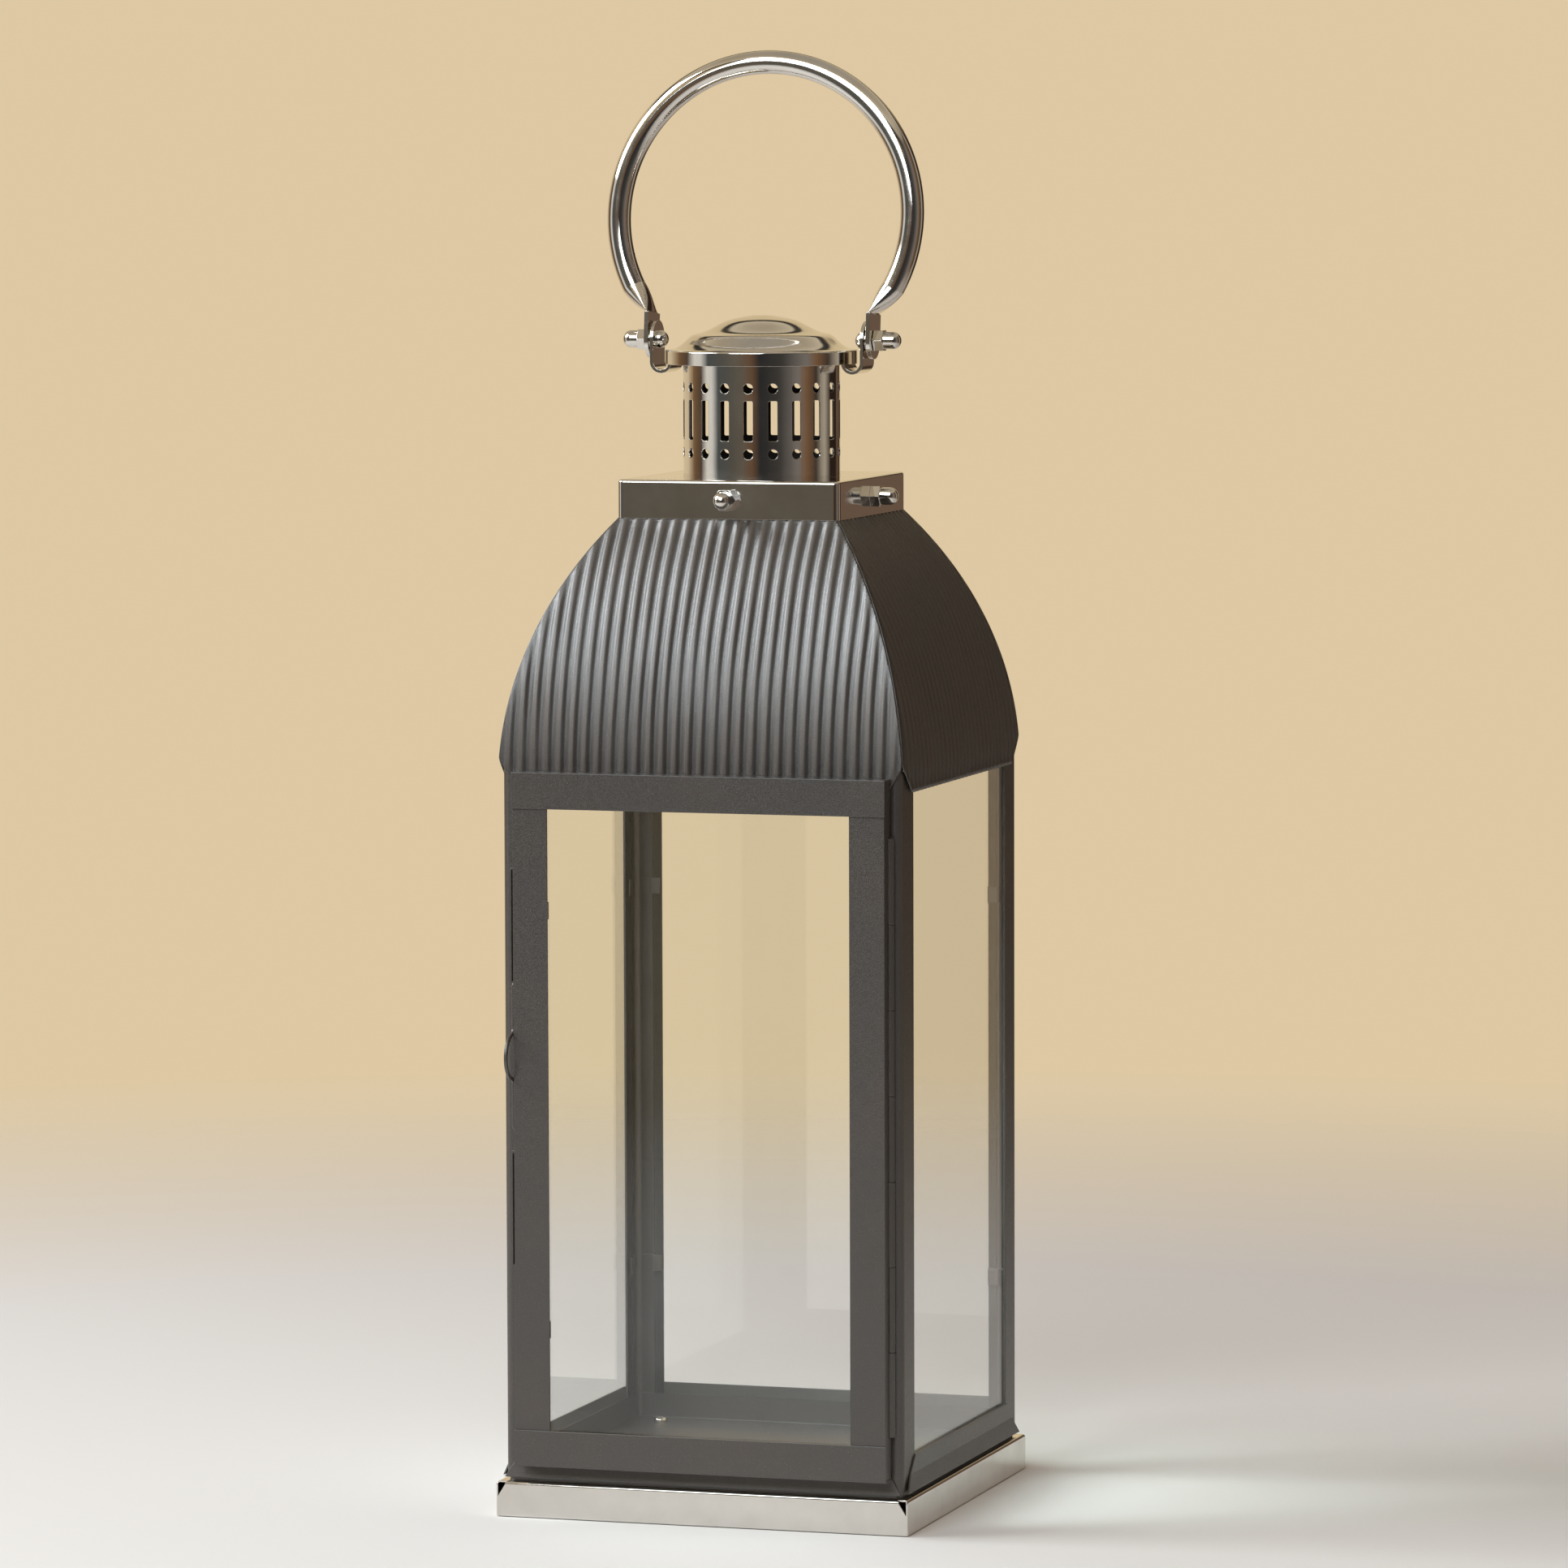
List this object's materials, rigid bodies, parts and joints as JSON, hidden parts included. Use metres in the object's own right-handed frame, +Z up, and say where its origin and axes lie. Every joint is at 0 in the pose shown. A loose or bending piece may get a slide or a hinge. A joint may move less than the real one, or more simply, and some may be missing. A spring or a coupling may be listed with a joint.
{
  "type": "candle lantern",
  "caption": "Tall square candle lantern with clear glass sides, a hinged front door, a ribbed domed roof, a pierced chimney with a lid, a polished base tray and a swinging tube handle.",
  "frame": {"origin": "on the floor under the middle of the base tray", "axes": "+Z up, the door faces -Y, +X to the right of someone who faces the door"},
  "size_m": [0.2, 0.2173, 0.6806],
  "materials": {
    "polished_steel": "polished, bright",
    "black_coat": "matt, fine-textured powder coat",
    "clear_glass": "clear, flat"
  },
  "bodies": {
    "lantern_body": {"base_tray": "polished_steel", "bottom_rail_front": "black_coat", "bottom_rail_left": "black_coat", "bottom_rail_rear": "black_coat", "bottom_rail_right": "black_coat", "bracket_rivets": "polished_steel", "catch_strip_lower": "black_coat", "catch_strip_upper": "black_coat", "chimney_lid": "polished_steel", "chimney_tube": "polished_steel", "collar": "polished_steel", "collar_acorn_nuts": "polished_steel", "collar_screws": "polished_steel", "floor_nuts": "polished_steel", "floor_pan": "black_coat", "floor_screws": "polished_steel", "glass_clips_left": "black_coat", "glass_clips_rear": "black_coat", "glass_clips_right": "black_coat", "glass_left": "clear_glass", "glass_rear": "clear_glass", "glass_right": "clear_glass", "handle_bracket_left": "polished_steel", "handle_bracket_right": "polished_steel", "hinge_leaf": "black_coat", "hinge_pin": "black_coat", "pivot_acorn_nuts": "polished_steel", "pivot_screws": "polished_steel", "pivot_washers": "polished_steel", "post_front_left": "black_coat", "post_front_right": "black_coat", "post_rear_left": "black_coat", "post_rear_right": "black_coat", "roof_panel_front": "black_coat", "roof_panel_left": "black_coat", "roof_panel_rear": "black_coat", "roof_panel_right": "black_coat"},
    "door": {"door_glass": "clear_glass", "door_glass_clips": "black_coat", "door_pull": "black_coat", "door_rail_bottom": "black_coat", "door_rail_top": "black_coat", "door_stile_left": "black_coat", "door_stile_right": "black_coat"},
    "handle": {"handle_hoop": "polished_steel"}
  },
  "joints": [
    {"name": "door_swing", "type": "hinge", "parent": "lantern_body", "child": "door", "pos_m": [0.0919, -0.0998, 0.18], "axis": [0, 0, 1], "range_deg": [0, 110]},
    {"name": "handle_swing", "type": "hinge", "parent": "lantern_body", "child": "handle", "pos_m": [0, 0, 0.5454], "axis": [1, 0, 0], "range_deg": [-136.5, 147.8]}
  ]
}
